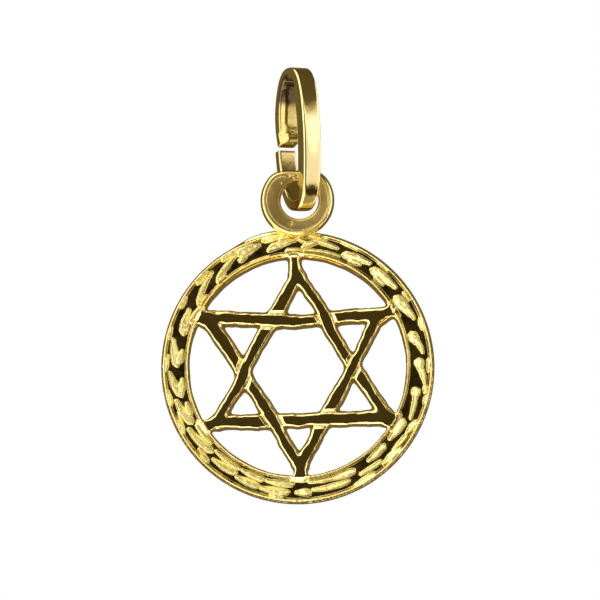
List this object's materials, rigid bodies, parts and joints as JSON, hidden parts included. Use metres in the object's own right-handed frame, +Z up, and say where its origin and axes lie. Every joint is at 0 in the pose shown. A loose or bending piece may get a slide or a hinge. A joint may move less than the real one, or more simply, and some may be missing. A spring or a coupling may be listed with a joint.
{
  "type": "star of david pendant",
  "caption": "Round openwork pendant with a woven hexagram inside a rim of raised leaves, hung by a soldered eyelet from an open oval link.",
  "frame": {"origin": "the chain's seat: the inside of the top of the link, in the middle of the wire's width", "axes": "+Z up, the medallion's front faces -Y, +X to the right as the front is seen"},
  "size_m": [0.016, 0.0039, 0.0256],
  "materials": {
    "cast_gilt": "polished gilding, matte and bronze-toned on the soldered eyelet",
    "link_gilt": "polished gilding, hammered on the inner face"
  },
  "bodies": {
    "bail": {"bail": "link_gilt"},
    "medallion": {"medallion": "cast_gilt"}
  },
  "joints": [
    {"name": "medallion_swing", "type": "hinge", "parent": "bail", "child": "medallion", "pos_m": [0.00018, -0.00043, -0.00716], "axis": [0, 1, 0], "range_deg": [-110, 110]}
  ]
}
